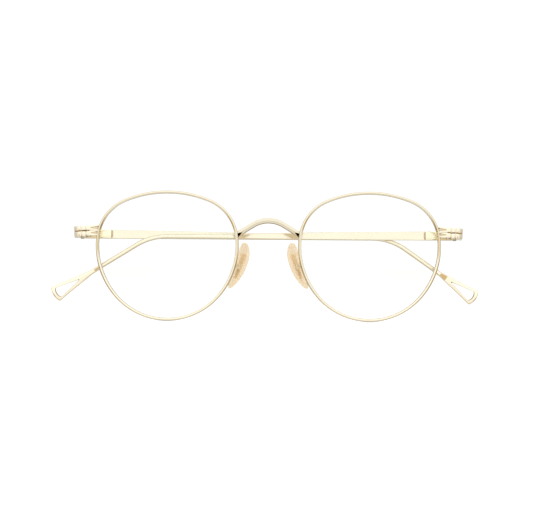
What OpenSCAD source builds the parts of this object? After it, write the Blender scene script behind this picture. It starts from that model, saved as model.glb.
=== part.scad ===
// Round metal eyeglasses, folded. Millimetres.
// +X is the wearer's left, +Y runs back from the front towards the temple tips, +Z is up.
// The origin is the middle of the bridge, on the line through both lens centres.

/* [Front] */
// Distance between the two lens centres
lens_pitch = 69; // [66:0.5:72]
// Angle that each half of the front is swept back by
wrap_angle = 3; // [0:0.5:5]
// Height of the top of the eyewire's centre line above the lens centres
outline_top = 21.7; // [21:0.1:22.5]
// Radius of the flat top arc of the lens outline
top_r = 37.7; // [35:0.1:40]
// Half the angle that the top arc covers
top_angle = 22.6; // [21:0.2:24]
// Radius of the upper corner arcs
corner_r = 15.1; // [14.5:0.1:15.6]
// Angle that each corner arc covers
corner_angle = 60; // [58:0.5:62]
// Radius of the side arcs
side_r = 26.1; // [25:0.1:27]
// Angle that each side arc covers
side_angle = 48; // [44:1:60]

/* [Eyewire] */
// Width of the eyewire seen from the front
wire_w = 1.06; // [0.9:0.02:1.3]
// Depth of the eyewire from front to back
wire_d = 1.9; // [1.7:0.1:2.2]
// Half the mouth width of the groove that holds the lens
groove_half = 0.42; // [0.35:0.01:0.5]
// Depth of the groove
groove_depth = 0.42; // [0.3:0.01:0.5]

/* [Lenses] */
// Radius of the lens's curved faces
base_curve_r = 130; // [90:5:200]
// Thickness of the lens
lens_t = 1.8; // [1.6:0.1:2]

/* [Bridge] */
// Height of the band's centre line at the crown
crown_z = 12.1; // [11.8:0.1:13]
// Radius of the crown's centre line
crown_r = 10; // [9.5:0.5:11]
// Angle that each leg slopes down at
leg_slope = 31; // [30:1:34]
// Height of the bridge's band
band_h = 1.9; // [1.6:0.1:2.1]
// Depth of the bridge's band
band_d = 1.7; // [1.4:0.1:1.9]

/* [Endpieces] */
// Distance from the middle to the outer face of an endpiece
tip_x = 66.3; // [66:0.1:67]
// Height of the seam between the endpiece halves at its outer end
tip_z = 8; // [7.6:0.1:8.4]
// Height of each endpiece half
half_h = 1.75; // [1.6:0.05:1.9]
// Gap between the two halves
seam_gap = 0.08; // [0.04:0.02:0.2]
// Angle that the endpiece slopes down at, going outwards
droop = 4; // [0:1:6]
// Angle that the open temples slope down at, going back
temple_tilt = 5; // [0:1:8]

/* [Hinges] */
// Radius of the hinge knuckles
knuckle_r = 1.3; // [1.2:0.05:1.35]
// Radius of the hinge screw's shank
hinge_screw_r = 0.55; // [0.45:0.05:0.6]
// Radial running clearance of the screws in their bores
bore_clearance = 0.03; // [0.02:0.01:0.06]
// Half the height of the temple's middle knuckle
middle_knuckle_half = 0.74; // [0.6:0.02:0.8]

/* [Temples] */
// Length from the hinge to where the left tip's line meets the straight part's line
corner_left = 104.2; // [98:0.1:108]
// The same length on the right temple
corner_right = 105.7; // [98:0.1:108]
// Angle that the left tip drops at
drop_left = 31.8; // [28:0.1:38]
// Angle that the right tip drops at
drop_right = 35.1; // [28:0.1:38]
// Length from that meeting point to the end of the left tip
tip_left = 38.9; // [34:0.1:42]
// The same length on the right temple
tip_right = 36.1; // [34:0.1:42]
// Radius of the bend
bend_r = 20; // [16:1:26]
// Thickness of the temple
temple_t = 1.05; // [0.9:0.05:1.2]
// Height of the temple beside the hinge
strip_h = 3.05; // [2.8:0.05:3.3]
// Width of the temple's wire at the bend
wire_h = 1.5; // [1.3:0.1:1.8]
// Width of the open paddle at its end
paddle_w = 5.8; // [5:0.1:6.5]
// Length of the paddle
paddle_len = 15; // [12:0.5:18]
// Height of the curve across the paddle's end
paddle_bulge = 0.55; // [0.2:0.05:0.8]
// Angle that each temple is away from square to the side when folded
fold_offset = 0.9; // [0.7:0.1:1.2]

/* [Nose pads] */
// Length of a nose pad
pad_len = 16.6; // [15:0.1:18]
// Width that a nose pad would have without its narrowing
pad_w = 8.6; // [7.8:0.1:8.8]
// Part of that width that is lost from the top of the pad to its bottom
pad_narrowing = 0.55; // [0.4:0.05:0.6]
// Thickness of a nose pad
pad_t = 2.2; // [2:0.1:2.3]
// Angle that the pads lean apart at, going down
frontal_angle = 19.5; // [16:0.5:22]
// Angle that the pads open at, going back
splay_angle = 30; // [26:1:32]

/* [Hidden] */
$fn = 48;

// Finishes
gold = "#e6d3a8";
pale_gold = "#efe2c2";
clear = "#dfe8ec";
amber = "#d9a86a";

// Lens outline. Each turn is the angle the outline's tangent has turned since the top,
// going round the outer side, so the outline closes where the turn is 360.
turn_1 = top_angle;
turn_2 = turn_1 + corner_angle;
turn_3 = turn_2 + side_angle;
bottom_r = (top_r * sin(turn_1) + corner_r * (sin(turn_2) - sin(turn_1))
    + side_r * (sin(turn_3) - sin(turn_2))) / sin(turn_3);
function outward(turn) = [sin(turn), cos(turn)];
top_c = [0, outline_top - top_r];
corner_c = top_c + (top_r - corner_r) * outward(turn_1);
side_c = corner_c + (corner_r - side_r) * outward(turn_2);
bottom_c = side_c + (side_r - bottom_r) * outward(turn_3);
outline_bottom = bottom_c[1] - bottom_r;

// Centre and radius of the arc at a turn between 0 and 180
function arc_at(turn) =
    turn < turn_1 ? [top_c, top_r]
    : turn < turn_2 ? [corner_c, corner_r]
    : turn < turn_3 ? [side_c, side_r]
    : [bottom_c, bottom_r];

// Point of the outline, moved out by an offset; the second half mirrors the first
function outline_point(turn, offset) =
    let (t = turn > 180 ? 360 - turn : turn)
    let (arc = arc_at(t))
    let (p = arc[0] + (arc[1] + offset) * outward(t))
    [turn > 180 ? -p[0] : p[0], p[1]];

// Places of the larger parts
lens_x = lens_pitch / 2;
rim_outer_x = 58.4;
seam_at_rim_z = 8.58;
outline_step = 5;
foot_x = 10.65;
foot_z = 7.5;
foot_lean = 0.1;
foot_flare = 1.8;
endpiece_y = rim_outer_x * sin(wrap_angle);
bar_start = -9;
bar_half = 0.9;
arm_len = 5.3;
hinge_back = 6;
butt_gap = 0.15;
temple_inner = 1.45;
hinge_in = temple_inner + temple_t;
hinge_x = tip_x - hinge_in;
hinge_y = endpiece_y + hinge_back;
hinge_z = tip_z - hinge_back * tan(temple_tilt) + hinge_in * tan(droop);
rim_lean = 14.3;
rim_screw_x = -5;
screw_recess = 0.18;
groove_xs = [-2.6, -4.1];
groove_w = 0.34;
strip_bottom = -half_h;
leaf_t = 0.8;
leaf_end = 10.4;
leaf_h = 2.9;
bore_r = hinge_screw_r + bore_clearance;
middle_slot_half = middle_knuckle_half + 0.06;
pad_center = [9.55, 5.8, -3.6];
pad_curl = 1.3;
screw_n = 1.95;
screw_side = -1.4;
pad_screw_r = 0.32;
lug_half = 0.5;
lug_r = 0.55;
cheek_t = 0.6;
slot_half = lug_half + 0.06;
box_half = slot_half + cheek_t;

// ---- Shared shapes ----

// A closed solid through rings of points that all have the same count, with flat ends
module loft(rings) {
    n = len(rings[0]);
    last = len(rings) - 1;
    sides = [for (i = [0 : last - 1], j = [0 : n - 1])
        let (k = (j + 1) % n)
        each [[i * n + j, i * n + k, (i + 1) * n + k], [i * n + j, (i + 1) * n + k, (i + 1) * n + j]]];
    bottom = [for (j = [n - 1 : -1 : 0]) j];
    top = [for (j = [0 : n - 1]) last * n + j];
    polyhedron([for (r = rings) each r], concat([bottom], sides, [top]));
}

// The same piece on the wearer's left (+X) or right (-X)
module on_side(side) {
    mirror([side < 0 ? 1 : 0, 0, 0]) children();
}

// The swept-back frame that a lens and its rim are drawn in, with the lens centre at its origin
module lens_frame() {
    rotate([0, 0, wrap_angle]) translate([lens_x, 0, 0]) children();
}

// The outer end of the endpiece, with +X outwards and +Y back along the arm
module endpiece_frame() {
    translate([tip_x, endpiece_y, tip_z]) rotate([-temple_tilt, droop, 0]) children();
}

// The hinge, with its screw along Z and the open temple along +Y
module hinge_frame() {
    translate([hinge_x, hinge_y, hinge_z]) rotate([-temple_tilt, 0, 0]) children();
}

// The nose pad, with its length along Z and its nose face towards -X
module pad_frame() {
    translate(pad_center) rotate([0, -frontal_angle, 0]) rotate([0, 0, -splay_angle]) children();
}

// ---- Front ----

// Section of the eyewire as [outwards, back]: rounded outside, V-shaped groove inside
function eyewire_section() =
    let (w = wire_w / 2)
    let (d = wire_d / 2)
    [[-w + groove_depth, 0], [-w, groove_half], [-w + 0.03, d - 0.12], [-w + 0.15, d], [w - 0.35, d],
        [w - 0.08, d - 0.2], [w, d - 0.5], [w, -d + 0.5], [w - 0.08, -d + 0.2], [w - 0.35, -d],
        [-w + 0.15, -d], [-w + 0.03, -d + 0.12], [-w, -groove_half]];

// Eyewire: one loop, split where the endpiece halves clamp it
module rim() {
    split = acos((seam_at_rim_z - corner_c[1]) / corner_r);
    half_split = asin(seam_gap / 2 / corner_r);
    first = ceil(split / outline_step) * outline_step;
    turns = [split + half_split, each [first : outline_step : first + 360 - outline_step],
        split + 360 - half_split];
    color(gold) lens_frame() loft([for (turn = turns) [for (s = eyewire_section())
        let (p = outline_point(turn % 360, s[0])) [p[0], s[1], p[1]]]]);
}

// Meniscus lens with a V-shaped bevel that sits in the groove
module lens() {
    clearance = 0.03;
    edge = -wire_w / 2 - clearance;
    apex = edge + groove_depth - clearance;
    edge_r = lens_x - 11;
    turns = [0 : outline_step : 360 - outline_step];
    function ring(f, y_edge) = [for (turn = turns)
        let (p = f * outline_point(turn, edge))
        [p[0], y_edge + (p * p - edge_r * edge_r) / (2 * base_curve_r), p[1]]];
    function bevel_ring(offset, y) = [for (turn = turns)
        let (p = outline_point(turn, offset)) [p[0], y, p[1]]];
    bevel_half = groove_half - clearance;
    color(clear, 0.35) lens_frame() loft([
        ring(0.06, -lens_t / 2), ring(0.3, -lens_t / 2), ring(0.6, -lens_t / 2),
        ring(0.85, -lens_t / 2), ring(1, -lens_t / 2),
        bevel_ring(edge, -bevel_half), bevel_ring(apex, 0), bevel_ring(edge, bevel_half),
        ring(1, lens_t / 2), ring(0.85, lens_t / 2), ring(0.6, lens_t / 2),
        ring(0.3, lens_t / 2), ring(0.06, lens_t / 2)
    ]);
}

// Section of the bridge as [up, back]: a band with a ridge along its front
function band_section() =
    let (h = band_h / 2)
    let (d = band_d / 2)
    [[-h, d - 0.4], [-h + 0.4, d], [h - 0.4, d], [h, d - 0.4], [h, -d + 0.5], [h - 0.35, -d + 0.1],
        [0, -d], [-h + 0.35, -d + 0.1], [-h, -d + 0.5]];

// Place on the crown's arc as [x, z], at a height h off its centre line
function crown_point(angle, h) = (crown_r + h) * outward(angle) + [0, crown_z - crown_r];

// Point of the leg at a height h, a distance before the sloping side of the rim
function leg_point(h, before) =
    let (start = crown_point(leg_slope, h))
    let (reach = (foot_x - start[0] + foot_lean * (start[1] - foot_z))
        / (cos(leg_slope) + foot_lean * sin(leg_slope)))
    start + (reach - before) * [cos(leg_slope), -sin(leg_slope)];

// Arched bridge: a crown arc with a leg to each rim, whose foot grows deeper on its lower side
module bridge() {
    bridge_y = foot_x * sin(wrap_angle);
    function leg(side, before, flare) = [for (s = band_section())
        let (p = leg_point(s[0] < 0 ? flare * s[0] : s[0], before)) [side * p[0], bridge_y + s[1], p[1]]];
    function crown(angle) = [for (s = band_section())
        let (p = crown_point(angle, s[0])) [p[0], bridge_y + s[1], p[1]]];
    color(gold) loft([leg(-1, 0, foot_flare), leg(-1, 3, 1.05),
        each [for (i = [-6 : 6]) crown(leg_slope * i / 6)],
        leg(1, 3, 1.05), leg(1, 0, foot_flare)]);
}

// ---- Endpieces ----

// Plan of the endpiece: a bar from the rim, a block, and an arm back to the hinge
module endpiece_plan() {
    polygon([[bar_start, -bar_half], [-6, -bar_half], [-4.4, -1.25], [-1.6, -1.25], [-0.5, -0.7], [0, 0.4],
        [0, arm_len], [-temple_t, arm_len], [-temple_t, 3], [-2.2, 1.7], [-4.1, 1.3], [-6, bar_half],
        [bar_start, bar_half]]);
}

// Plan of the web that carries a front knuckle, drawn about the hinge screw
module knuckle_web_plan() {
    butt = -hinge_back + arm_len;
    polygon([[-knuckle_r, 0], [-0.9, -1.6], [0.6, -2.6], [1.7, -2.6], [1.7, butt - 0.05], [1.2, butt], [1.2, 0]]);
}

// Both halves of the endpiece as one piece, before the seam
module endpiece_whole() {
    difference() {
        union() {
            endpiece_frame() translate([0, 0, -half_h]) linear_extrude(2 * half_h) endpiece_plan();
            hinge_frame() for (z = [-half_h, middle_slot_half]) translate([0, 0, z])
                linear_extrude(half_h - middle_slot_half) {
                    circle(r = knuckle_r);
                    knuckle_web_plan();
                }
        }
        // Room for the temple's knuckle, and the bores of the hinge screw
        hinge_frame() {
            cylinder(r = knuckle_r + 0.12, h = 2 * middle_slot_half, center = true);
            cylinder(r = bore_r, h = 3 * half_h, center = true);
            translate([0, 0, half_h - 0.42]) cylinder(r = 0.9, h = 1);
        }
        // The bar ends on the outer side of the eyewire
        translate([rim_outer_x - 0.46, 0, seam_at_rim_z]) rotate([0, -rim_lean, 0])
            translate([-5, -5, -5]) cube([5, 10, 10]);
        // Flutes that narrow away from the rim, and two turned grooves
        endpiece_frame() {
            for (z = [-half_h / 2, half_h / 2])
                translate([bar_start, -bar_half + 0.1, z]) rotate([0, 90, 0])
                cylinder(r1 = 0.58, r2 = 0.06, h = 4.2);
            for (x = groove_xs) difference() {
                translate([x - groove_w / 2, -2, -2.5]) cube([groove_w, 5, 5]);
                translate([x - 0.5, -1, -half_h + 0.25]) cube([1, 6, 2 * half_h - 0.5]);
            }
        }
        // Bore and head recess of the rim screw
        endpiece_frame() translate([rim_screw_x, 0, 0]) {
            translate([0, 0, -half_h - 1]) cylinder(r = 0.5 + bore_clearance, h = half_h + 2.2);
            translate([0, 0, -half_h - 1]) cylinder(r = 0.82, h = 1 + screw_recess);
        }
    }
}

// One half of the endpiece: +1 is the upper one and -1 the lower one
module endpiece_half(level) {
    color(gold) intersection() {
        endpiece_whole();
        endpiece_frame() translate([-12, -4, level > 0 ? seam_gap / 2 : -4 - seam_gap / 2])
            cube([16, 16, 4]);
    }
}

// Slotted head on top of a shank that hangs down along -Z
module screw(shank_r, shank_len, head_r, head_h) {
    difference() {
        union() {
            translate([0, 0, -shank_len]) cylinder(r = shank_r, h = shank_len + 0.1);
            cylinder(r = head_r, h = head_h);
        }
        translate([-head_r - 1, -0.12, head_h - 0.18]) cube([2 * head_r + 2, 0.24, 1]);
    }
}

module rim_screw() {
    color(pale_gold) endpiece_frame() translate([rim_screw_x, 0, -half_h + screw_recess - 0.03])
        rotate([180, 0, 0]) screw(0.5, 2.6, 0.78, 0.5);
}

module hinge_screw() {
    end_stands_out = 0.3;
    color(pale_gold) hinge_frame() translate([0, 0, half_h - 0.4])
        screw(hinge_screw_r, 2 * half_h - 0.4 + end_stands_out, 0.85, 0.4);
}

// ---- Temples, drawn open along +Y from the hinge screw, then folded ----

// Turns an open temple to its folded place
module folded(angle) {
    hinge_frame() rotate([0, 0, angle]) children();
}

// A bend is [corner, drop, tip]: where the two lines meet, the angle between them, the tip's length
bend_left = [corner_left, drop_left, tip_left];
bend_right = [corner_right, drop_right, tip_right];
wire_z = strip_bottom + wire_h / 2;
function tangent_len(bend) = bend_r * tan(bend[1] / 2);
function bend_len(bend) = bend_r * bend[1] * PI / 180;
function straight_len(bend) = bend[0] - tangent_len(bend);
function temple_len(bend) = straight_len(bend) + bend_len(bend) + bend[2] - tangent_len(bend);
function paddle_start(bend) = temple_len(bend) - paddle_len;

// Centre line of the temple as [distance back, height], for a length along it
function temple_slope(bend, s) =
    min(max((s - straight_len(bend)) / bend_len(bend), 0), 1) * bend[1];
function temple_point(bend, s) =
    let (a = temple_slope(bend, s))
    let (past = max(s - straight_len(bend) - bend_len(bend), 0))
    [min(s, straight_len(bend)) + bend_r * sin(a) + past * cos(a),
        wire_z - bend_r * (1 - cos(a)) - past * sin(a)];

// Half width of the temple beyond the strip: a wire that opens into a paddle
function half_width(bend, s) =
    wire_h / 2 + (paddle_w - wire_h) / 2 * max(s - paddle_start(bend), 0) / paddle_len;

// Point beside the centre line, at a distance to its upper side
function beside(bend, s, off) =
    let (a = temple_slope(bend, s))
    temple_point(bend, s) + off * [sin(a), cos(a)];
function edge_point(bend, s, side) = beside(bend, s, side * half_width(bend, s));

// Points across the paddle on a curve that bulges towards its end
function cross_curve(bend, s, half) =
    [for (i = [4 : -1 : -4]) beside(bend, s - paddle_bulge * i * i / 16, half * i / 4)];

// Side view of the temple as [distance back, height]
module temple_profile(bend) {
    start = -(hinge_back - arm_len - butt_gap);
    strip_end = straight_len(bend) - 2;
    bend_steps = [for (i = [0 : 14]) straight_len(bend) + bend_len(bend) * i / 14];
    rounding = 0.3;
    end_s = temple_len(bend);
    after = concat([strip_end], bend_steps, [paddle_start(bend), end_s - paddle_bulge - rounding]);
    polygon(concat(
        [[start, strip_bottom], [start, strip_bottom + strip_h], [12, strip_bottom + strip_h],
            [43, strip_bottom + 2.6], [64, strip_bottom + 2.15]],
        [for (s = after) edge_point(bend, s, 1)],
        cross_curve(bend, end_s, half_width(bend, end_s) - rounding),
        [for (i = [len(after) - 1 : -1 : 0]) edge_point(bend, after[i], -1)]
    ));
}

// Opening of the paddle: a long triangle with a curved outer side
module paddle_window(bend) {
    bar = 0.95;
    end_bar = 1.2;
    window_len = 8.75;
    base = temple_len(bend) - end_bar;
    half_base = half_width(bend, base) - bar;
    polygon(concat([temple_point(bend, base - window_len),
        beside(bend, base - paddle_bulge - 0.4, half_base)],
        cross_curve(bend, base, half_base - 0.35),
        [beside(bend, base - paddle_bulge - 0.4, -half_base)]));
}

// One flat arm: strip, wire, bend and open paddle
module temple(bend, angle) {
    color(gold) folded(angle) translate([temple_inner, 0, 0]) rotate([90, 0, 90])
        linear_extrude(temple_t) difference() {
            temple_profile(bend);
            paddle_window(bend);
        }
}

// Leaf and middle knuckle of the hinge, on the temple's inner face
module temple_hinge(angle) {
    leaf_start = temple_inner;
    color(pale_gold) folded(angle) difference() {
        union() {
            translate([temple_inner - leaf_t, 0, strip_bottom + 0.08]) rotate([90, 0, 90])
                linear_extrude(leaf_t) {
                    translate([leaf_start, 0]) square([leaf_end - leaf_start - 0.7, leaf_h]);
                    translate([leaf_start, 0.7]) square([leaf_end - leaf_start, leaf_h - 1.4]);
                    for (z = [0.7, leaf_h - 0.7]) translate([leaf_end - 0.7, z]) circle(r = 0.7);
                }
            translate([0, 0, -middle_knuckle_half]) linear_extrude(2 * middle_knuckle_half) {
                circle(r = knuckle_r);
                square([temple_inner, leaf_start + 1]);
            }
        }
        cylinder(r = bore_r, h = 3 * half_h, center = true);
    }
}

// ---- Nose pads ----

// Outline of a pad, widest near the top; angle 0 is the back edge and 90 the top
function blunt(v) = sign(v) * pow(abs(v), 0.85);
function pad_outline(a) = let (narrowing = 1 - pad_narrowing * (1 - sin(a)) / 2)
    [pad_w / 2 * blunt(cos(a)) * narrowing, pad_len / 2 * blunt(sin(a))];

// Soft pad: a thin cushion with a crowned nose face and an edge that curls away from the nose
module nose_pad() {
    steps = 36;
    function ring(f, x) = [for (i = [0 : steps - 1])
        let (p = f * pad_outline(i * 360 / steps))
        [x + pad_curl * (p[1] * p[1]) / (pad_len * pad_len / 4), p[0], p[1]]];
    h = pad_t / 2;
    color(amber) pad_frame() loft([
        ring(0.15, h), ring(0.6, h), ring(0.85, 0.8 * h), ring(0.97, 0.4 * h), ring(1, 0),
        ring(0.97, -0.4 * h), ring(0.85, -0.75 * h), ring(0.6, -h), ring(0.15, -1.1 * h)
    ]);
}

// The eye of the pad's lug, with the pad screw along Y
module eye_frame() {
    pad_frame() translate([screw_n, screw_side, 0]) children();
}

// Bore of the pad screw
module pad_screw_bore() {
    rotate([90, 0, 0]) cylinder(r = pad_screw_r + bore_clearance, h = 6, center = true);
}

// Metal plate moulded into the pad, and its lug with an eye for the pad screw
module pad_lug() {
    plate_t = 0.5;
    plate_mid = 0.7;
    color(pale_gold) {
        pad_frame() translate([plate_mid + plate_t / 2, 0, 0]) rotate([0, -90, 0]) linear_extrude(plate_t)
            polygon([[-4.3, -1.5], [-4.3, -0.1], [4.6, 1], [4.6, -2.3]]);
        eye_frame() difference() {
            union() {
                translate([plate_mid - screw_n, -lug_half, -lug_r])
                    cube([screw_n - plate_mid, 2 * lug_half, 2 * lug_r]);
                rotate([90, 0, 0]) cylinder(r = lug_r, h = 2 * lug_half, center = true);
            }
            pad_screw_bore();
        }
    }
}

// U-shaped box that holds the lug between two cheeks
module pad_box() {
    front = 1.38 - screw_n;
    cavity = lug_r + 0.12;
    back = lug_r + 0.5;
    color(gold) eye_frame() difference() {
        translate([front, -box_half, -1]) cube([back - front, 2 * box_half, 2]);
        translate([front - 1, -slot_half, -2]) cube([cavity - front + 1, 2 * slot_half, 4]);
        pad_screw_bore();
    }
}

module pad_screw() {
    color(pale_gold) eye_frame() translate([0, -box_half - 0.02, 0]) rotate([90, 0, 0])
        screw(pad_screw_r, 2 * box_half, 0.55, 0.3);
}

// Arm of the pad: a bent wire from the back of the rim, hidden behind it, to the back of the box
module pad_arm() {
    wire_r = 0.45;
    foot = [13.75, 1.5, -9.3];
    box_back = screw_n + lug_r + 0.65;
    end = pad_center + box_back * [cos(splay_angle) * cos(frontal_angle), -sin(splay_angle),
        cos(splay_angle) * sin(frontal_angle)]
        + screw_side * [sin(splay_angle) * cos(frontal_angle), cos(splay_angle),
        sin(splay_angle) * sin(frontal_angle)];
    path = [foot, [13.3, 3.4, -9], [12.3, 3, -4.8], end];
    steps = 16;
    sides = 12;
    function along(t) = path[0] * pow(1 - t, 3) + path[1] * 3 * t * pow(1 - t, 2)
        + path[2] * 3 * t * t * (1 - t) + path[3] * pow(t, 3);
    function unit(v) = v / norm(v);
    function heading(t) = unit(along(min(t + 0.01, 1)) - along(max(t - 0.01, 0)));
    color(gold) loft([for (i = [0 : steps])
        let (t = i / steps)
        let (h = heading(t))
        let (u = unit(cross([0, 0.3, 1], h)))
        let (v = cross(h, u))
        [for (j = [0 : sides - 1])
            along(t) + wire_r * (u * cos(-j * 360 / sides) + v * sin(-j * 360 / sides))]]);
}

left_fold = 90 + fold_offset;
right_fold = 90 - fold_offset;

on_side(1) rim();  // rim_left
on_side(-1) rim();  // rim_right
on_side(1) lens();  // lens_left
on_side(-1) lens();  // lens_right
bridge();
on_side(1) endpiece_half(1);  // endpiece_upper_left
on_side(-1) endpiece_half(1);  // endpiece_upper_right
on_side(1) endpiece_half(-1);  // endpiece_lower_left
on_side(-1) endpiece_half(-1);  // endpiece_lower_right
on_side(1) rim_screw();  // rim_screw_left
on_side(-1) rim_screw();  // rim_screw_right
on_side(1) hinge_screw();  // hinge_screw_left
on_side(-1) hinge_screw();  // hinge_screw_right
on_side(1) temple(bend_left, left_fold);  // temple_left
on_side(-1) temple(bend_right, right_fold);  // temple_right
on_side(1) temple_hinge(left_fold);  // temple_hinge_left
on_side(-1) temple_hinge(right_fold);  // temple_hinge_right
on_side(1) pad_arm();  // pad_arm_left
on_side(-1) pad_arm();  // pad_arm_right
on_side(1) pad_box();  // pad_box_left
on_side(-1) pad_box();  // pad_box_right
on_side(1) pad_screw();  // pad_screw_left
on_side(-1) pad_screw();  // pad_screw_right
on_side(1) pad_lug();  // pad_lug_left
on_side(-1) pad_lug();  // pad_lug_right
on_side(1) nose_pad();  // nose_pad_left
on_side(-1) nose_pad();  // nose_pad_right
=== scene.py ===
"""Round metal eyeglasses: polished pale gold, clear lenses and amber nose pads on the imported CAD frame."""
import math

import bmesh
import bpy
import numpy as np
from mathutils import Matrix, Vector


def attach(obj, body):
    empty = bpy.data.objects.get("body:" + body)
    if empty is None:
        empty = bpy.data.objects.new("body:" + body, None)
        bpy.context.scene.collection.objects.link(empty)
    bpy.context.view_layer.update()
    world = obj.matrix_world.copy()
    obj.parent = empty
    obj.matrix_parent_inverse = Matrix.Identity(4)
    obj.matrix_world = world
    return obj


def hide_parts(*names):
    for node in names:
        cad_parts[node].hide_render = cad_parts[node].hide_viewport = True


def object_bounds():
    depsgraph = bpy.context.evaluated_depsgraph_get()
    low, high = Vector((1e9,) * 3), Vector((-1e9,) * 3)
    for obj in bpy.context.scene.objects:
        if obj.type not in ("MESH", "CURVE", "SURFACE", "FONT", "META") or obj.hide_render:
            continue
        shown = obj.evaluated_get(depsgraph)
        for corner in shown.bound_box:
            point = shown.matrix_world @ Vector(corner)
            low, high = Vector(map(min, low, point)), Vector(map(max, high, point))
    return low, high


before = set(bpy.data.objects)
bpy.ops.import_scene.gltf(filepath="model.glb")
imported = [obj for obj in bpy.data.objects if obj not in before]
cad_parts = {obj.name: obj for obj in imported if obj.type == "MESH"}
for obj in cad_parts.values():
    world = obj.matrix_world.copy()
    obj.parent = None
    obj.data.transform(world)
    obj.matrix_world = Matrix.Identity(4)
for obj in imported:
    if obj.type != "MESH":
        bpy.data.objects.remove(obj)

cad_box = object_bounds()

# ---- Sizes in millimetres and degrees, the same driving dimensions as the CAD source ----
MM = 0.001
SIDES = {"left": 1, "right": -1}

WRAP = 3.0
LENS_X = 34.5
TOP_Z, TOP_R, TOP_ANGLE = 21.7, 37.7, 22.6
CORNER_R, CORNER_ANGLE = 15.1, 60.0
SIDE_R, SIDE_ANGLE = 26.1, 48.0
WIRE_HALF_W = 0.53
WIRE_HALF_D = 0.95
RIM_OUTER_X = 58.4
GROOVE_HALF = 0.42
GROOVE_DEPTH = 0.42
SEAM_Z = 8.58
SEAM_GAP = 0.08
LENS_T = 1.8
LENS_CURVE_R = 130.0
LENS_EDGE_R = LENS_X - 11
CLEARANCE = 0.03

CROWN_Z, CROWN_R, LEG_SLOPE = 12.1, 10.0, 31.0
FOOT_X, FOOT_Z, FOOT_LEAN, FOOT_FLARE = 10.65, 7.5, 0.1, 1.8
LEG_LENGTH, FLARE_LENGTH = 4.6, 3.4

TIP_X, TIP_Z = 66.3, 8.0
HALF_H = 1.75
ENDPIECE_FRONT = -1.25
# Upright lines on the endpiece, from its outer end
GROOVES = (-4.1, -2.6)
DROOP, TILT = 4.0, 5.0
HINGE_BACK, HINGE_IN = 6.0, 2.5
TEMPLE_INNER, TEMPLE_T = 1.45, 1.05
FOLD = {"left": 90.9, "right": 89.1}
# Length to the corner of the bend, drop past it, and length from the corner to the tip
BENDS = {"left": (104.2, 31.8, 38.9), "right": (105.7, 35.1, 36.1)}
# Start and end of the slanted step on the paddle's inner face, back from the tip
PRESS_FROM_TIP = {"left": (18.2, 16.4), "right": (14.9, 12.4)}
BEND_R = 20.0
STRIP_START = -0.55
STRIP_H, WIRE_H = 3.05, 1.5
PADDLE_W, PADDLE_LEN, PADDLE_BULGE = 5.8, 15.0, 0.55
PADDLE_PRESS, PADDLE_CROWN = 0.46, 0.26

PAD_CENTRE = (9.55, 5.8, -3.6)
PAD_LEN, PAD_W, PAD_T, PAD_CURL = 16.6, 8.6, 2.2, 1.3
PAD_NARROWING = 0.55
PAD_FRONTAL, PAD_SPLAY = 19.5, 30.0
PAD_SCREW_N, PAD_SCREW_SIDE = 1.95, -1.4
PAD_WIRE_R = 0.45

SMOOTH_BELOW = 32.0


# ---- Mesh helpers ----

def polar(turn):
    """Unit vector that points up at 0 degrees and outwards at 90."""
    return np.array((math.sin(math.radians(turn)), math.cos(math.radians(turn))))


def unit(v):
    return v / np.linalg.norm(v)


def rounded(corners, steps=5):
    """Closed outline through corners of (x, y, radius), each corner turned into an arc."""
    points = []
    count = len(corners)
    for i, (x, y, radius) in enumerate(corners):
        corner = np.array((x, y))
        before = unit(np.array(corners[i - 1][:2]) - corner)
        after = unit(np.array(corners[(i + 1) % count][:2]) - corner)
        half = math.acos(np.clip(before @ after, -1, 1)) / 2
        centre = corner + unit(before + after) * radius / math.sin(half)
        first = corner + before * radius / math.tan(half) - centre
        last = corner + after * radius / math.tan(half) - centre
        sweep = math.pi - 2 * half
        for k in range(steps + 1):
            share = k / steps
            arm = (math.sin((1 - share) * sweep) * first + math.sin(share * sweep) * last)
            points.append(centre + arm / math.sin(sweep))
    return np.array(points)


def loft(rings):
    """Points and faces of a tube through rings of equal count, capped at both ends."""
    rings = [np.asarray(ring, float) for ring in rings]
    count = len(rings[0])
    faces = []
    for i in range(len(rings) - 1):
        a, b = i * count, (i + 1) * count
        for j in range(count):
            k = (j + 1) % count
            faces.append((a + j, a + k, b + k, b + j))
    faces.append(tuple(range(count)))
    faces.append(tuple((len(rings) - 1) * count + j for j in range(count)))
    return np.vstack(rings), faces


def new_mesh(name, points, faces, crease=SMOOTH_BELOW):
    """Smooth-shaded mesh from points in millimetres, with sharp edges above the crease angle."""
    mesh = bpy.data.meshes.new(name)
    mesh.from_pydata([tuple(p) for p in np.asarray(points, float) * MM], [], faces)
    bm = bmesh.new()
    bm.from_mesh(mesh)
    bmesh.ops.recalc_face_normals(bm, faces=bm.faces)
    bm.to_mesh(mesh)
    bm.free()
    mesh.shade_smooth()
    mesh.set_sharp_from_angle(angle=math.radians(crease))
    return mesh


def add_piece(name, mesh, body, material, stands_for=()):
    """Puts a mesh in the scene as a piece that moves with a body and stands for CAD nodes."""
    piece = bpy.data.objects.new(name, mesh)
    bpy.context.scene.collection.objects.link(piece)
    if mesh.materials:
        mesh.materials[0] = material
    else:
        mesh.materials.append(material)
    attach(piece, body)
    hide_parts(*stands_for)
    return piece


def turned(points, axis, degrees):
    """Points turned about an axis through the origin."""
    rotation = np.array(Matrix.Rotation(math.radians(degrees), 3, axis))
    return np.asarray(points, float) @ rotation.T


def sided(points, side):
    """Points on the wearer's left (+X), or mirrored for the right."""
    return np.asarray(points, float) * (side, 1, 1)


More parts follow.
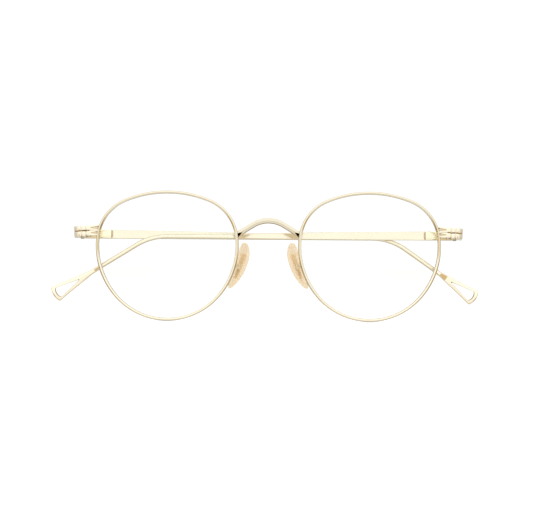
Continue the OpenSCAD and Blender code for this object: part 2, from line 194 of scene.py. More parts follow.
def carve(mesh, cutter):
    """Cuts one mesh out of another; the cut faces keep the cutter's material."""
    scene = bpy.context.scene
    base = bpy.data.objects.new("carve_base", mesh)
    tool = bpy.data.objects.new("carve_tool", cutter)
    scene.collection.objects.link(base)
    scene.collection.objects.link(tool)
    cut = base.modifiers.new("cut", "BOOLEAN")
    cut.operation = "DIFFERENCE"
    cut.solver = "EXACT"
    cut.material_mode = "TRANSFER"
    cut.object = tool
    depsgraph = bpy.context.evaluated_depsgraph_get()
    result = bpy.data.meshes.new_from_object(base.evaluated_get(depsgraph))
    bpy.data.objects.remove(base)
    bpy.data.objects.remove(tool)
    result.shade_smooth()
    result.set_sharp_from_angle(angle=math.radians(SMOOTH_BELOW))
    return result


# ---- Lens outline, wrapped frames ----

def outline_arcs():
    """(last turn, centre, radius) of the arcs from the top round the outer side to the bottom."""
    turns = np.cumsum((TOP_ANGLE, CORNER_ANGLE, SIDE_ANGLE))
    radii = (TOP_R, CORNER_R, SIDE_R)
    centres = [np.array((0.0, TOP_Z - TOP_R))]
    for k in (0, 1):
        centres.append(centres[k] + (radii[k] - radii[k + 1]) * polar(turns[k]))
    bottom_r = (centres[2] + SIDE_R * polar(turns[2]))[0] / polar(turns[2])[0]
    centres.append(centres[2] + (SIDE_R - bottom_r) * polar(turns[2]))
    return list(zip((*turns, 180.0), centres, (*radii, bottom_r)))


ARCS = outline_arcs()


def outline_point(turn, offset):
    """Point of the lens outline as [outwards, up], moved out by an offset; turn runs 0 to 360."""
    turn = turn % 360
    flip = -1 if turn > 180 else 1
    turn = 360 - turn if turn > 180 else turn
    for last, centre, radius in ARCS:
        if turn <= last:
            break
    return (centre + (radius + offset) * polar(turn)) * (flip, 1)


def in_lens_frame(points):
    """Points drawn about the lens centre, moved to the swept-back left lens."""
    return turned(np.asarray(points, float) + (LENS_X, 0, 0), "Z", WRAP)


# ---- Rims, lenses, bridge ----

def eyewire(side_name):
    """Polished eyewire with rounded shoulders, a soft crown and the lens groove, cut at the seam."""
    w, d = WIRE_HALF_W, WIRE_HALF_D
    section = rounded([
        (w, d, 0.4), (w, -d, 0.46), (0.0, -d - 0.03, 0.5), (-w, -d + 0.12, 0.1), (-w, -GROOVE_HALF, 0.05),
        (-w + GROOVE_DEPTH, 0, 0.05), (-w, GROOVE_HALF, 0.05), (-w, d, 0.14),
    ])
    corner_centre = ARCS[1][1]
    split = math.degrees(math.acos((SEAM_Z - corner_centre[1]) / CORNER_R))
    half_gap = math.degrees(SEAM_GAP / 2 / CORNER_R)
    rings = []
    for turn in np.linspace(split + half_gap, split + 360 - half_gap, 361):
        flat = [outline_point(turn, outwards) for outwards, _ in section]
        rings.append([(p[0], s[1], p[1]) for p, s in zip(flat, section)])
    points, faces = loft([in_lens_frame(ring) for ring in rings])
    mesh = new_mesh("eyewire_" + side_name, sided(points, SIDES[side_name]), faces)
    node = "rim_" + side_name
    return add_piece("eyewire_" + side_name, mesh, "front", GOLD, [node])


def lens_height(radius_squared, half):
    """Depth of a lens face at a squared radius, where half is its depth at the edge."""
    return half + (radius_squared - LENS_EDGE_R ** 2) / (2 * LENS_CURVE_R)


def clear_lens(side_name):
    """Meniscus lens with two smooth curved faces and a bevel that sits in the groove."""
    steps, shells = 180, 22
    edge = -WIRE_HALF_W - CLEARANCE
    apex = edge + GROOVE_DEPTH - CLEARANCE
    turns = np.arange(steps) * 360 / steps
    shares = np.sin(np.linspace(0.02, 1, shells) * math.pi / 2)

    def face_rings(half):
        rings = []
        for share in shares:
            flat = [share * outline_point(t, edge) for t in turns]
            rings.append([(p[0], lens_height(p @ p, half), p[1]) for p in flat])
        return rings

    def bevel_ring(offset, y):
        return [(p[0], y, p[1]) for p in (outline_point(t, offset) for t in turns)]

    lip = GROOVE_HALF - CLEARANCE
    bevel = [bevel_ring(edge, -lip), bevel_ring(apex, 0), bevel_ring(edge, lip)]
    rings = face_rings(-LENS_T / 2) + bevel + face_rings(LENS_T / 2)[::-1]
    points, faces = loft([in_lens_frame(ring) for ring in rings])
    mesh = new_mesh("lens_" + side_name, sided(points, SIDES[side_name]), faces)
    node = "lens_" + side_name
    return add_piece("clear_" + node, mesh, "front", LENS_GLASS, [node])


def crown_point(angle, height):
    """Point of the bridge's crown arc at a height off its centre line."""
    return (CROWN_R + height) * polar(angle) + (0, CROWN_Z - CROWN_R)


def leg_point(height, before):
    """Point of the right-hand leg at a height off its centre line, a distance before the rim."""
    start = crown_point(LEG_SLOPE, height)
    slope = math.radians(LEG_SLOPE)
    reach = FOOT_X - start[0] + FOOT_LEAN * (start[1] - FOOT_Z)
    reach = reach / (math.cos(slope) + FOOT_LEAN * math.sin(slope)) - before
    return start + reach * np.array((math.cos(slope), -math.sin(slope)))


def bridge_band():
    """Arched band with a bright upper bevel, a ridge, and a deep foot with a hollow painted near black as a
    dark reflection.
    """
    section = rounded([
        (-0.95, 0.85, 0.3), (0.95, 0.85, 0.3), (0.95, -0.2, 0.15), (0.08, -0.85, 0.05), (-0.1, -0.78, 0.05),
        (-0.66, -0.66, 0.08), (-0.95, -0.3, 0.15),
    ])
    bridge_y = FOOT_X * math.sin(math.radians(WRAP))

    def leg(before):
        near = max(0, 1 - before / FLARE_LENGTH)
        flare = 1 + (FOOT_FLARE - 1) * near ** 1.6
        return [(*leg_point(h * flare if h < 0 else h, before), depth) for h, depth in section]

    right = [leg(before) for before in np.linspace(LEG_LENGTH, 0, 14)]
    left = [[(-x, z, depth) for x, z, depth in r] for r in right[::-1]]
    angles = np.linspace(-LEG_SLOPE, LEG_SLOPE, 41)
    crown = [[(*crown_point(angle, h), depth) for h, depth in section] for angle in angles]
    points, faces = loft([[(x, bridge_y + depth, z) for x, z, depth in r] for r in left + crown + right])
    mesh = new_mesh("bridge_band", points, faces)
    mesh.materials.append(GOLD)
    for side in (1, -1):
        mesh = carve(mesh, foot_hollow(side, bridge_y))
    mesh.name = "bridge_band"
    return add_piece("bridge_band", mesh, "front", GOLD, ["bridge"])


def foot_hollow(side, bridge_y):
    """Cutter for the three-sided hollow where the bridge meets the rim; its inner faces are painted near
    black as a dark reflection.
    """
    front = bridge_y - 1.15
    deep = bridge_y - 0.05
    corners = [(8.35, 8.45), (10.8, 8.1), (10.4, 5.6)]
    floor = (10.0, 7.4)
    points = [(x, front, z) for x, z in corners] + [(floor[0], deep, floor[1])]
    faces = [(0, 1, 2), (0, 3, 1), (0, 2, 3), (1, 3, 2)]
    mesh = new_mesh("foot_hollow", sided(points, side), faces)
    mesh.materials.append(PAINTED_DARK_REFLECTION)
    return mesh


# ---- Temples ----

WIRE_Z = -HALF_H + WIRE_H / 2


class Temple:
    """Centre line and height of one temple: a strip, a wire, a bend and a paddle."""

    def __init__(self, side_name):
        corner, drop, tip = BENDS[side_name]
        self.drop = math.radians(drop)
        tangent = BEND_R * math.tan(self.drop / 2)
        self.straight = corner - tangent
        self.bent = self.straight + BEND_R * self.drop
        self.length = self.bent + tip - tangent
        self.paddle = self.length - PADDLE_LEN
        self.press = [self.length - back for back in PRESS_FROM_TIP[side_name]]

    def slope(self, s):
        """Angle of the centre line below the strip, at a length along the temple."""
        return min(max((s - self.straight) / (self.bent - self.straight), 0), 1) * self.drop

    def point(self, s):
        """Centre of the wire as [back, up] at a length along the temple."""
        a = self.slope(s)
        past = max(s - self.bent, 0)
        back = min(s, self.straight) + BEND_R * math.sin(a) + past * math.cos(a)
        return np.array((back, WIRE_Z - BEND_R * (1 - math.cos(a)) - past * math.sin(a)))

    def beside(self, s, off):
        """Point at a distance above the centre line, square to it."""
        a = self.slope(s)
        return self.point(s) + off * np.array((math.sin(a), math.cos(a)))

    def height(self, s):
        """Height of the strip as it tapers into the wire, and of the paddle beyond it."""
        strip = np.interp(s, (12, 43, 64, self.straight - 2), (STRIP_H, 2.6, 2.15, WIRE_H))
        return strip + max(0, (PADDLE_W - WIRE_H) * (s - self.paddle) / PADDLE_LEN)

    def corner_radius(self, s):
        """Small on the strip and the paddle, full round on the wire."""
        return np.interp(s, (0, 50, self.straight - 14, self.paddle - 3, self.paddle + 4),
                         (0.16, 0.2, 0.5, 0.5, 0.24))

    def ring(self, s, height, half_t, radius):
        """Rounded section in the open temple's own frame; near the end it follows the end's curve."""
        rise = max(self.height(s) - WIRE_H, 0) / 2 if s < self.straight else 0
        section = rounded([(-half_t, -height / 2, radius), (half_t, -height / 2, radius),
                           (half_t, height / 2, radius), (-half_t, height / 2, radius)])
        # More points along the flat of the inner face, for the pressed step and the crown
        flat = 0.96 * (height / 2 - radius)
        section = np.vstack((section, [(-half_t, share * flat) for share in np.linspace(1, -1, 9)]))
        middle = TEMPLE_INNER + TEMPLE_T / 2
        bulge = PADDLE_BULGE * np.interp(s, (self.length - 5, self.length - 1.5), (0, 1))
        ring = []
        for t, h in section:
            across = (2 * h / height) ** 2
            inward = self.pressed(s, height, across) * (half_t - t) / (2 * half_t)
            ring.append((middle + t + inward, *self.beside(s - bulge * across, h + rise)))
        return ring

    def pressed(self, s, height, across):
        """Depth by which the paddle's inner face is pressed in past a slanted step, more at its edges."""
        crown = PADDLE_CROWN * height / PADDLE_W * np.interp(s, (self.press[1], self.press[1] + 3), (0, 1))
        return np.interp(s, self.press, (0, PADDLE_PRESS)) + crown * across


def in_hinge_frame(points, side_name):
    """Points of an open left temple, folded and moved to a side's hinge."""
    folded = turned(points, "Z", FOLD[side_name])
    tilted = turned(folded, "X", -TILT)
    rise = HINGE_IN * math.tan(math.radians(DROOP)) - HINGE_BACK * math.tan(math.radians(TILT))
    hinge_y = RIM_OUTER_X * math.sin(math.radians(WRAP)) + HINGE_BACK
    return sided(tilted + (TIP_X - HINGE_IN, hinge_y, TIP_Z + rise), SIDES[side_name])


def window_cutter(temple, side_name):
    """Cutter for the paddle's long window, with a chamfer along both faces; the cut walls carry painted
    shade as thin dark outlines.
    """
    bar, end_bar, length = 0.95, 1.2, 8.75
    base = temple.length - end_bar
    half = temple.height(base) / 2 - bar
    outline = rounded([(0, 0.12, 0.1), (0, -0.12, 0.1), (length - 0.75, -half, 0.45), (length, 0, 3),
                       (length - 0.75, half, 0.45)], 8)
    middle = TEMPLE_INNER + TEMPLE_T / 2
    centre = np.array((length * 0.62, 0))
    # Depth and spread of each ring: a wide chamfer inside, straight walls, a fine chamfer outside
    chamfers = ((-1.2, 3.4), (0.2, 0.0), (0.4, 0.0), (1.2, 0.55))
    rings = []
    for depth, grow in chamfers:
        spread = outline + grow * np.array([unit(p - centre) for p in outline]) * (0.6, 0.35)
        rings.append([(middle + depth, *temple.beside(base - length + u, v)) for u, v in spread])
    points, faces = loft(rings)
    mesh = new_mesh("window", in_hinge_frame(points, side_name), faces)
    mesh.materials.append(WINDOW_EDGE_SHADE)
    return mesh


def temple_arm(side_name):
    """One temple: bevelled strip, round wire, bend and open paddle."""
    temple = Temple(side_name)
    half_t = TEMPLE_T / 2
    end_radius = 0.5
    stations = np.unique(np.concatenate([
        np.linspace(STRIP_START + 0.1, 12, 8), np.linspace(12, temple.straight - 2, 40),
        np.linspace(temple.straight, temple.bent, 25), np.linspace(temple.bent, temple.paddle, 10),
        [edge + offset for edge in temple.press for offset in (-0.06, 0.06)],
        np.linspace(temple.paddle, temple.length - end_radius, 32)]))
    rings = [temple.ring(STRIP_START, STRIP_H - 0.2, half_t - 0.1, 0.16)]
    for s in stations:
        rings.append(temple.ring(s, temple.height(s), half_t, temple.corner_radius(s)))
    end_h = temple.height(temple.length - end_radius)
    for angle in np.radians((20, 40, 60, 80, 90)):
        inset = end_radius * (1 - math.cos(angle))
        rings.append(temple.ring(temple.length - end_radius * (1 - math.sin(angle)), end_h - 2 * inset,
                                 half_t - 0.4 * inset, 0.22))
    points, faces = loft(rings)
    mesh = new_mesh("temple", in_hinge_frame(points, side_name), faces)
    mesh.materials.append(TEMPLE_GOLD)
    mesh = carve(mesh, window_cutter(temple, side_name))
    name = "temple_arm_" + side_name
    mesh.name = name
    node = "temple_" + side_name
    return add_piece(name, mesh, node, TEMPLE_GOLD, [node])


# ---- Nose pads ----

def in_pad_frame(points, side):
    """Points drawn about the left pad, with its length along Z and its nose face towards -X."""
    return sided(turned(turned(points, "Z", -PAD_SPLAY), "Y", -PAD_FRONTAL) + PAD_CENTRE, side)


def blunt(value):
    """Sine or cosine pushed outwards, so that the outline is fuller than an ellipse."""
    return math.copysign(abs(value) ** 0.85, value)


def pad_edge(angle):
    """Outline of a pad, widest near its top; angle 0 is the back edge and a quarter turn the top."""
    narrowing = 1 - PAD_NARROWING * (1 - math.sin(angle)) / 2
    return np.array((PAD_W / 2 * blunt(math.cos(angle)) * narrowing, PAD_LEN / 2 * blunt(math.sin(angle))))


def nose_cushion(side_name):
    """Soft translucent pad: a crowned nose face and a rounded edge that curls off the nose."""
    steps = 72
    edge_fullness, crown, smallest = 0.62, 1.1, 0.02
    rings = []
    for angle in np.linspace(-86, 90, 28):
        share = max(math.cos(math.radians(angle)), 0) ** edge_fullness
        depth = -PAD_T / 2 * math.sin(math.radians(angle)) * (1.0 if angle < 0 else crown)
        ring = []
        for k in range(steps):
            p = max(share, smallest) * pad_edge(2 * math.pi * k / steps)
            ring.append((depth + PAD_CURL * p[1] ** 2 / (PAD_LEN / 2) ** 2, p[0], p[1]))
        rings.append(ring)
    points, faces = loft(rings)
    name = "nose_cushion_" + side_name
    mesh = new_mesh(name, in_pad_frame(points, SIDES[side_name]), faces, crease=60)
    return add_piece(name, mesh, "pad_" + side_name, PAD_AMBER, ["nose_pad_" + side_name])


def pad_wire(side_name):
    """Bent wire that carries the pad, with a small soldered foot on the rim."""
    end = in_pad_frame([(PAD_SCREW_N + 1.2, PAD_SCREW_SIDE, 0)], 1)[0]
    # Control points of one curve, from the rim round a loop behind it to the pad box
    path = np.array([(13.75, 1.5, -9.3), (13.3, 3.4, -9.0), (12.3, 3.0, -4.8), end])
    foot_swell, foot_share = 0.45, 0.12
    rings = []
    for t in np.linspace(0, 1, 49):
        weights = np.array(((1 - t) ** 3, 3 * t * (1 - t) ** 2, 3 * t * t * (1 - t), t ** 3))
        slopes = np.array((-3 * (1 - t) ** 2, 3 * (1 - t) * (1 - 3 * t), 3 * t * (2 - 3 * t), 3 * t * t))
        centre, heading = weights @ path, unit(slopes @ path)
        u = unit(np.cross((0, 0.3, 1), heading))
        v = np.cross(heading, u)
        swell = 1 + foot_swell * max(0, 1 - t / foot_share) ** 2
        ring = []
        for turn in np.linspace(0, 2 * math.pi, 20, endpoint=False):
            ring.append(centre + PAD_WIRE_R * swell * (u * math.cos(turn) + v * math.sin(turn)))
        rings.append(ring)
    points, faces = loft(rings)
    name = "pad_wire_" + side_name
    mesh = new_mesh(name, sided(points, SIDES[side_name]), faces)
    return add_piece(name, mesh, "front", ARM_GOLD, ["pad_arm_" + side_name])


# ---- CAD parts whose shape is right: the same shape with merged faces and rounded edges ----

def eased_mesh(node, width, material, cutters=()):
    """A copy of a CAD node's mesh, cut if asked, with merged flat faces and rounded sharp edges."""
    bevel_above, smooth_below = math.radians(28), math.radians(30)
    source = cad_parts[node].data
    mesh = bpy.data.meshes.new(node)
    mesh.from_pydata([v.co for v in source.vertices], [], [tuple(p.vertices) for p in source.polygons])
    mesh.materials.append(material)
    bm = merged_flat_faces(mesh)
    bm.to_mesh(mesh)
    bm.free()
    for cutter in cutters:
        mesh = carve(mesh, cutter)
    bm = merged_flat_faces(mesh)
    sharp = [e for e in bm.edges if e.is_manifold and e.calc_face_angle(0) > bevel_above]
    bmesh.ops.bevel(bm, geom=sharp, offset=width * MM, segments=3, profile=0.5, affect="EDGES",
                    clamp_overlap=True)
    bmesh.ops.recalc_face_normals(bm, faces=bm.faces)
    bm.to_mesh(mesh)
    bm.free()
    mesh.shade_smooth()
    mesh.set_sharp_from_angle(angle=smooth_below)
    mesh.name = node
    return mesh


def merged_flat_faces(mesh):
    """Open bmesh of a mesh, with coinciding points joined and the faces of one plane merged."""
    bm = bmesh.new()
    bm.from_mesh(mesh)
    bmesh.ops.remove_doubles(bm, verts=bm.verts, dist=2e-6)
    bmesh.ops.dissolve_limit(bm, angle_limit=math.radians(1), verts=bm.verts, edges=bm.edges,
                             delimit={"MATERIAL"})
    return bm


def eased(node, body, material, width, cutters=()):
    """Piece that stands for a CAD node with the same shape, its edges rounded by a width."""
    mesh = eased_mesh(node, width, material, cutters)
    return add_piece(node + "_finished", mesh, body, material, [node])


def leaf_end_cutter(side_name):
    """Cutter for the slanted end of a hinge leaf, whose cut face is painted tan as shade."""
    corners = [(0.35, 9.3), (0.35, 11.2), (1.5, 11.2)]
    rings = [[(t, s, height) for t, s in corners] for height in (-2.6, 2.6)]
    points, faces = loft(rings)
    mesh = new_mesh("leaf_end", in_hinge_frame(points, side_name), faces)
    mesh.materials.append(SEAM_SHADE)
    return mesh


def in_endpiece_frame(points, side):
    """Points drawn about the outer end of the left endpiece."""
    leaning = turned(turned(points, "X", -TILT), "Y", DROOP)
    return sided(leaning + (TIP_X, RIM_OUTER_X * math.sin(math.radians(WRAP)), TIP_Z), side)


def v_cutter(path, outwards, across, depth, side):
    """Cutter for a V-shaped line along a path in the endpiece frame, with faces painted in shade."""
    path, outwards, across = (np.array(values, float) for values in (path, outwards, across))
    rings = [(p - across, p + depth * out, p + across, p - depth * out) for p, out in zip(path, outwards)]
    points, faces = loft(rings)
    mesh = new_mesh("line", in_endpiece_frame(points, side), faces)
    mesh.materials.append(SEAM_SHADE)
    return mesh


def endpiece_lines(side):
    """Cutters for the seam, which runs round the outer end, and the two upright lines of one side."""
    front = ENDPIECE_FRONT
    path = [(-5.3, -1.06, 0), (-4.4, front, 0), (-1.6, front, 0), (-0.5, -0.7, 0), (0, 0.4, 0), (0, 2.5, 0)]
    outwards = [(0, -1, 0), (-0.05, -1, 0), (0.22, -1, 0), (0.75, -0.7, 0), (1, -0.2, 0), (1, 0, 0)]
    cutters = [v_cutter(path, outwards, (0, 0, 0.25), 0.3, side)]
    for x in GROOVES:
        path = [(x, front, -HALF_H - 0.5), (x, front, HALF_H + 0.5)]
        cutters.append(v_cutter(path, [(0, -1, 0)] * 2, (0.22, 0, 0), 0.2, side))
    return cutters


# ---- Materials ----

def node_tree(name):
    """New material with its nodes, links and surface shader."""
    material = bpy.data.materials.new(name)
    material.use_nodes = True
    nodes = material.node_tree.nodes
    return material, nodes, material.node_tree.links, nodes["Principled BSDF"]


def math_node(nodes, links, operation, a, b):
    """Output of a math node whose two inputs are numbers or other nodes' outputs."""
    node = nodes.new("ShaderNodeMath")
    node.operation = operation
    for socket, value in zip(node.inputs, (a, b)):
        if isinstance(value, (int, float)):
            socket.default_value = value
        else:
            links.new(value, socket)
    return node.outputs["Value"]


def polished_metal(name, colour, roughness, scratch_scale=(300, 300, 300), crevice_shade=0.5, metallic=1.0):
    """Polished metal: fine hairline scratches, cloudy roughness and tone, and painted shade in crevices,
    where ambient occlusion darkens the colour.
    """
    material, nodes, links, shader = node_tree(name)
    shader.inputs["Metallic"].default_value = metallic
    place = nodes.new("ShaderNodeTexCoord")
    stretch = nodes.new("ShaderNodeMapping")
    stretch.inputs["Scale"].default_value = scratch_scale
    links.new(place.outputs["Object"], stretch.inputs["Vector"])

    hairlines = nodes.new("ShaderNodeTexNoise")
    hairlines.inputs["Scale"].default_value = 12.0
    hairlines.inputs["Detail"].default_value = 6.0
    links.new(stretch.outputs["Vector"], hairlines.inputs["Vector"])
    clouds = nodes.new("ShaderNodeTexNoise")
    clouds.inputs["Scale"].default_value = 260.0
    links.new(place.outputs["Object"], clouds.inputs["Vector"])

    rough = nodes.new("ShaderNodeMapRange")
    rough.inputs["To Min"].default_value = roughness * 0.7
    rough.inputs["To Max"].default_value = roughness * 1.4
    links.new(clouds.outputs["Fac"], rough.inputs["Value"])
    links.new(rough.outputs["Result"], shader.inputs["Roughness"])

    relief = nodes.new("ShaderNodeBump")
    relief.inputs["Strength"].default_value = 0.02
    relief.inputs["Distance"].default_value = 0.00005
    links.new(hairlines.outputs["Fac"], relief.inputs["Height"])
    links.new(relief.outputs["Normal"], shader.inputs["Normal"])

    tone = nodes.new("ShaderNodeMix")
    tone.data_type = "RGBA"
    tone.inputs["A"].default_value = (*[c * 0.93 for c in colour], 1)
    tone.inputs["B"].default_value = (*colour, 1)
    links.new(clouds.outputs["Fac"], tone.inputs["Factor"])

    # Painted shade: the colour is darkened towards brown where ambient occlusion finds a crevice
    hollow = nodes.new("ShaderNodeAmbientOcclusion")
    hollow.samples = 6
    hollow.inputs["Distance"].default_value = 0.0009
    shade = nodes.new("ShaderNodeMapRange")
    shade.inputs["From Min"].default_value = 0.15
    shade.inputs["From Max"].default_value = 0.75
    shade.inputs["To Min"].default_value = crevice_shade
    shade.inputs["To Max"].default_value = 0.0
    links.new(hollow.outputs["AO"], shade.inputs["Value"])
    dark = nodes.new("ShaderNodeMix")
    dark.data_type = "RGBA"
    dark.inputs["B"].default_value = (0.16, 0.09, 0.035, 1)
    links.new(shade.outputs["Result"], dark.inputs["Factor"])
    links.new(tone.outputs["Result"], dark.inputs["A"])
    links.new(dark.outputs["Result"], shader.inputs["Base Color"])
    return material


def lens_glass():
    """Thin coated glass: clear face on, with a weak reflection that grows towards the edge."""
    material, nodes, links, shader = node_tree("lens_glass")
    nodes.remove(shader)
    output = nodes["Material Output"]
    clear = nodes.new("ShaderNodeBsdfTransparent")
    clear.inputs["Color"].default_value = (0.995, 0.998, 0.996, 1)
    gloss = nodes.new("ShaderNodeBsdfGlossy")
    gloss.inputs["Roughness"].default_value = 0.02
    gloss.inputs["Color"].default_value = (0.86, 1.0, 0.94, 1)
    # The straight-through rays meet both faces of the lens as if from the air
    face = nodes.new("ShaderNodeNewGeometry")
    index = math_node(nodes, links, "MULTIPLY", face.outputs["Backfacing"], 1 / 1.5 - 1.5)
    index = math_node(nodes, links, "ADD", index, 1.5)
    rim = nodes.new("ShaderNodeFresnel")
    links.new(index, rim.inputs["IOR"])
    weak = math_node(nodes, links, "MULTIPLY", rim.outputs["Fac"], 0.45)
    mixed = nodes.new("ShaderNodeMixShader")
    links.new(weak, mixed.inputs["Fac"])
    links.new(clear.outputs["BSDF"], mixed.inputs[1])
    links.new(gloss.outputs["BSDF"], mixed.inputs[2])
    links.new(mixed.outputs["Shader"], output.inputs["Surface"])
    return material


def pad_amber():
    """Translucent amber: part clear, part softly lit, with faint clouds and a satin surface."""
    material, nodes, links, shader = node_tree("pad_amber")
    shader.inputs["Roughness"].default_value = 0.22
    shader.inputs["IOR"].default_value = 1.45
    place = nodes.new("ShaderNodeTexCoord")
    clouds = nodes.new("ShaderNodeTexNoise")
    clouds.inputs["Scale"].default_value = 260.0
    links.new(place.outputs["Object"], clouds.inputs["Vector"])
    tone = nodes.new("ShaderNodeMix")
    tone.data_type = "RGBA"
    tone.inputs["A"].default_value = (0.82, 0.66, 0.44, 1)
    tone.inputs["B"].default_value = (0.91, 0.79, 0.60, 1)
    links.new(clouds.outputs["Fac"], tone.inputs["Factor"])
    links.new(tone.outputs["Result"], shader.inputs["Base Color"])
    clear = nodes.new("ShaderNodeBsdfTransparent")
    clear.inputs["Color"].default_value = (0.96, 0.9, 0.79, 1)
    mixed = nodes.new("ShaderNodeMixShader")
    mixed.inputs["Fac"].default_value = 0.38
    links.new(clear.outputs["BSDF"], mixed.inputs[1])
    links.new(shader.outputs["BSDF"], mixed.inputs[2])
    links.new(mixed.outputs["Shader"], nodes["Material Output"].inputs["Surface"])
    return material


GOLD_TONE = (0.88, 0.775, 0.57)
GOLD = polished_metal("polished_gold", GOLD_TONE, 0.1)
TEMPLE_GOLD = polished_metal("temple_gold", GOLD_TONE, 0.12, scratch_scale=(8, 300, 300))
ENDPIECE_GOLD = polished_metal("endpiece_gold", GOLD_TONE, 0.12, crevice_shade=0.35)
ARM_GOLD = polished_metal("arm_gold", (0.94, 0.8, 0.56), 0.2, crevice_shade=0.0, metallic=0.5)
SATIN_GOLD = polished_metal("satin_gold", (0.97, 0.87, 0.60), 0.2, crevice_shade=0.0)
SCREW_METAL = polished_metal("screw_metal", (0.62, 0.56, 0.45), 0.2)
PLATE_BRASS = polished_metal("plate_brass", (0.98, 0.80, 0.50), 0.3, crevice_shade=0.0, metallic=0.15)
# Painted dark reflection: near-black faces in the bridge's foot hollows
PAINTED_DARK_REFLECTION = polished_metal("painted_dark_reflection", (0.03, 0.02, 0.012), 0.45, crevice_shade=0.0)
# Painted shade: tan faces in the endpiece seam, the upright lines and the hinge leaf's end
SEAM_SHADE = polished_metal("seam_shade", (0.62, 0.45, 0.25), 0.5, crevice_shade=0.0, metallic=0.3)
# Painted shade: darker walls round the paddle windows
WINDOW_EDGE_SHADE = polished_metal("window_edge_shade", (0.5, 0.42, 0.3), 0.25, crevice_shade=0.0)
LENS_GLASS = lens_glass()
PAD_AMBER = pad_amber()


# ---- Stage ----

def ramp(nodes, links, value, low, high):
    """Smooth 0 to 1 as a value goes from low to high."""
    node = nodes.new("ShaderNodeMapRange")
    node.interpolation_type = "SMOOTHSTEP"
    node.inputs["From Min"].default_value = low
    node.inputs["From Max"].default_value = high
    links.new(value, node.inputs["Value"])
    return node.outputs["Result"]


def studio_world():
    """White room for the camera. Reflections see a white screen ahead, a warm room with a dark ring behind
    the glasses, and brown wood: two doors beside the screen, a gap below it and a table."""
    world = bpy.data.worlds.new("studio")
    bpy.context.scene.world = world
    world.use_nodes = True
    nodes, links = world.node_tree.nodes, world.node_tree.links
    background = nodes["Background"]
    output = nodes["World Output"]
    place = nodes.new("ShaderNodeTexCoord")
    parts = nodes.new("ShaderNodeSeparateXYZ")
    links.new(place.outputs["Generated"], parts.inputs["Vector"])
    across, along, up = (parts.outputs[axis] for axis in "XYZ")

    def combine(operation, a, b):
        return math_node(nodes, links, operation, a, b)

    def band(value, *edges):
        """1 between the two middle edges, 0 outside the two outer ones."""
        rise = ramp(nodes, links, value, edges[0], edges[1])
        fall = ramp(nodes, links, value, edges[3], edges[2])
        return combine("MULTIPLY", rise, fall)

    sides = combine("ABSOLUTE", across, 0)
    facing = ramp(nodes, links, along, 0.1, -0.3)
    gap = combine("MULTIPLY", band(up, -0.34, -0.27, -0.17, -0.1), facing)
    table = combine("MULTIPLY", band(up, -0.8, -0.5, -0.34, -0.25), facing)
    doors = combine("MULTIPLY", band(sides, 0.2, 0.26, 0.42, 0.5), band(up, -0.3, -0.2, 0.04, 0.1))
    doors = combine("MULTIPLY", doors, facing)
    parts_of_level = (
        (0.36, ramp(nodes, links, up, -0.2, 0.75)),
        (0.38, ramp(nodes, links, along, -0.5, -0.95)),
        (-0.42, gap),
        (-0.22, table),
        (-0.4, doors),
        (-0.42, band(along, 0.02, 0.2, 0.45, 0.6)),
        (-0.12, ramp(nodes, links, sides, 0.65, 0.98)),
    )
    level = 0.8
    for weight, share in parts_of_level:
        level = combine("ADD", level, combine("MULTIPLY", share, weight))

    light_tone = nodes.new("ShaderNodeMix")
    light_tone.data_type = "RGBA"
    light_tone.inputs["A"].default_value = (1.0, 0.82, 0.6, 1)
    light_tone.inputs["B"].default_value = (0.955, 1.0, 1.06, 1)
    links.new(ramp(nodes, links, level, 0.25, 1.05), light_tone.inputs["Factor"])
    tone = nodes.new("ShaderNodeMix")
    tone.data_type = "RGBA"
    tone.inputs["B"].default_value = (1.0, 0.78, 0.45, 1)
    links.new(combine("MAXIMUM", gap, doors), tone.inputs["Factor"])
    links.new(light_tone.outputs["Result"], tone.inputs["A"])

    reflections = nodes.new("ShaderNodeBackground")
    links.new(tone.outputs["Result"], reflections.inputs["Color"])
    links.new(level, reflections.inputs["Strength"])
    path = nodes.new("ShaderNodeLightPath")
    mixed = nodes.new("ShaderNodeMixShader")
    background.inputs["Color"].default_value = (1, 1, 1, 1)
    background.inputs["Strength"].default_value = 1.06
    seen_in_metal = combine("SUBTRACT", path.outputs["Is Glossy Ray"], path.outputs["Is Transmission Ray"])
    links.new(combine("MAXIMUM", seen_in_metal, 0.0), mixed.inputs["Fac"])
    links.new(background.outputs["Background"], mixed.inputs[1])
    links.new(reflections.outputs["Background"], mixed.inputs[2])
    links.new(mixed.outputs["Shader"], output.inputs["Surface"])


def pale_floor():
    """Wide white floor under the glasses; the metal's reflections don't see it."""
    mesh = bpy.data.meshes.new("floor")
    half = 4.0
    level = cad_box[0].z - 0.2 * MM
    corners = [(-half, -half, level), (half, -half, level), (half, half, level), (-half, half, level)]
    mesh.from_pydata(corners, [], [(0, 1, 2, 3)])
    floor = bpy.data.objects.new("floor", mesh)
    bpy.context.scene.collection.objects.link(floor)
    material, _, _, shader = node_tree("floor_white")
    shader.inputs["Base Color"].default_value = (0.96, 0.955, 0.945, 1)
    shader.inputs["Roughness"].default_value = 0.9
    shader.inputs["Specular IOR Level"].default_value = 0.1
    mesh.materials.append(material)
    floor.visible_glossy = False


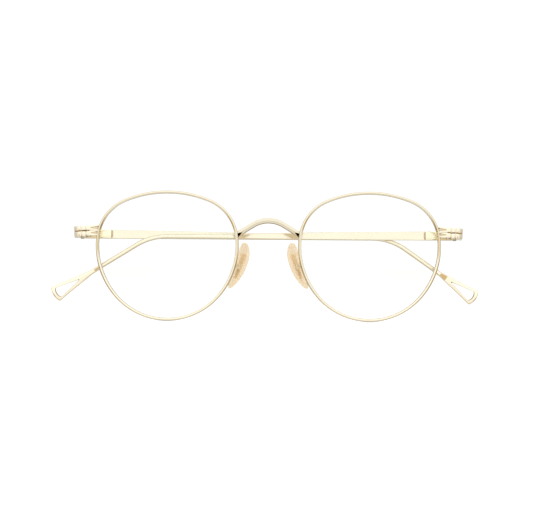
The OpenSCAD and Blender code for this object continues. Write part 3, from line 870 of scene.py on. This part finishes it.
def soft_light(name, place, target, size, watts, colour):
    """Round area light that the metal doesn't mirror."""
    light = bpy.data.lights.new(name, "AREA")
    light.shape = "DISK"
    light.size = size
    light.energy = watts
    light.color = colour
    lamp = bpy.data.objects.new(name, light)
    lamp.location = place
    lamp.rotation_euler = (Vector(target) - Vector(place)).to_track_quat("-Z", "Y").to_euler()
    bpy.context.scene.collection.objects.link(lamp)
    lamp.visible_glossy = False
    return lamp


def photo_camera():
    """Long lens straight ahead, level with the lens centres and turned a little about the view."""
    data = bpy.data.cameras.new("camera")
    distance = 1.0
    seen_width = 0.1812
    roll = math.radians(-0.35)
    data.sensor_width = 36.0
    data.lens = data.sensor_width * distance / seen_width
    data.clip_start = 0.1
    data.clip_end = 20.0
    camera = bpy.data.objects.new("camera", data)
    aim = Vector((-0.63 * MM, 0, 0.44 * MM))
    camera.location = aim + Vector((0, -distance, 0))
    camera.rotation_euler = (math.radians(90), roll, 0)
    bpy.context.scene.collection.objects.link(camera)
    bpy.context.scene.camera = camera


# ---- The object ----

for side_name in SIDES:
    eyewire(side_name)
    clear_lens(side_name)
    temple_arm(side_name)
    nose_cushion(side_name)
    pad_wire(side_name)
    eased("temple_hinge_" + side_name, "temple_" + side_name, SATIN_GOLD, 0.1,
          [leaf_end_cutter(side_name)])
    for level in ("upper", "lower"):
        eased("endpiece_%s_%s" % (level, side_name), "front", ENDPIECE_GOLD, 0.12,
              endpiece_lines(SIDES[side_name]))
    eased("rim_screw_" + side_name, "front", SCREW_METAL, 0.05)
    eased("hinge_screw_" + side_name, "front", SCREW_METAL, 0.06)
    eased("pad_box_" + side_name, "front", ARM_GOLD, 0.08)
    eased("pad_screw_" + side_name, "front", ARM_GOLD, 0.04)
    eased("pad_lug_" + side_name, "pad_" + side_name, PLATE_BRASS, 0.05)
bridge_band()

studio_world()
pale_floor()
soft_light("overhead", (0.2, -0.3, 1.2), (0, 0, 0), 0.9, 6, (1, 0.98, 0.95))
photo_camera()
bpy.context.scene.view_settings.view_transform = "Standard"
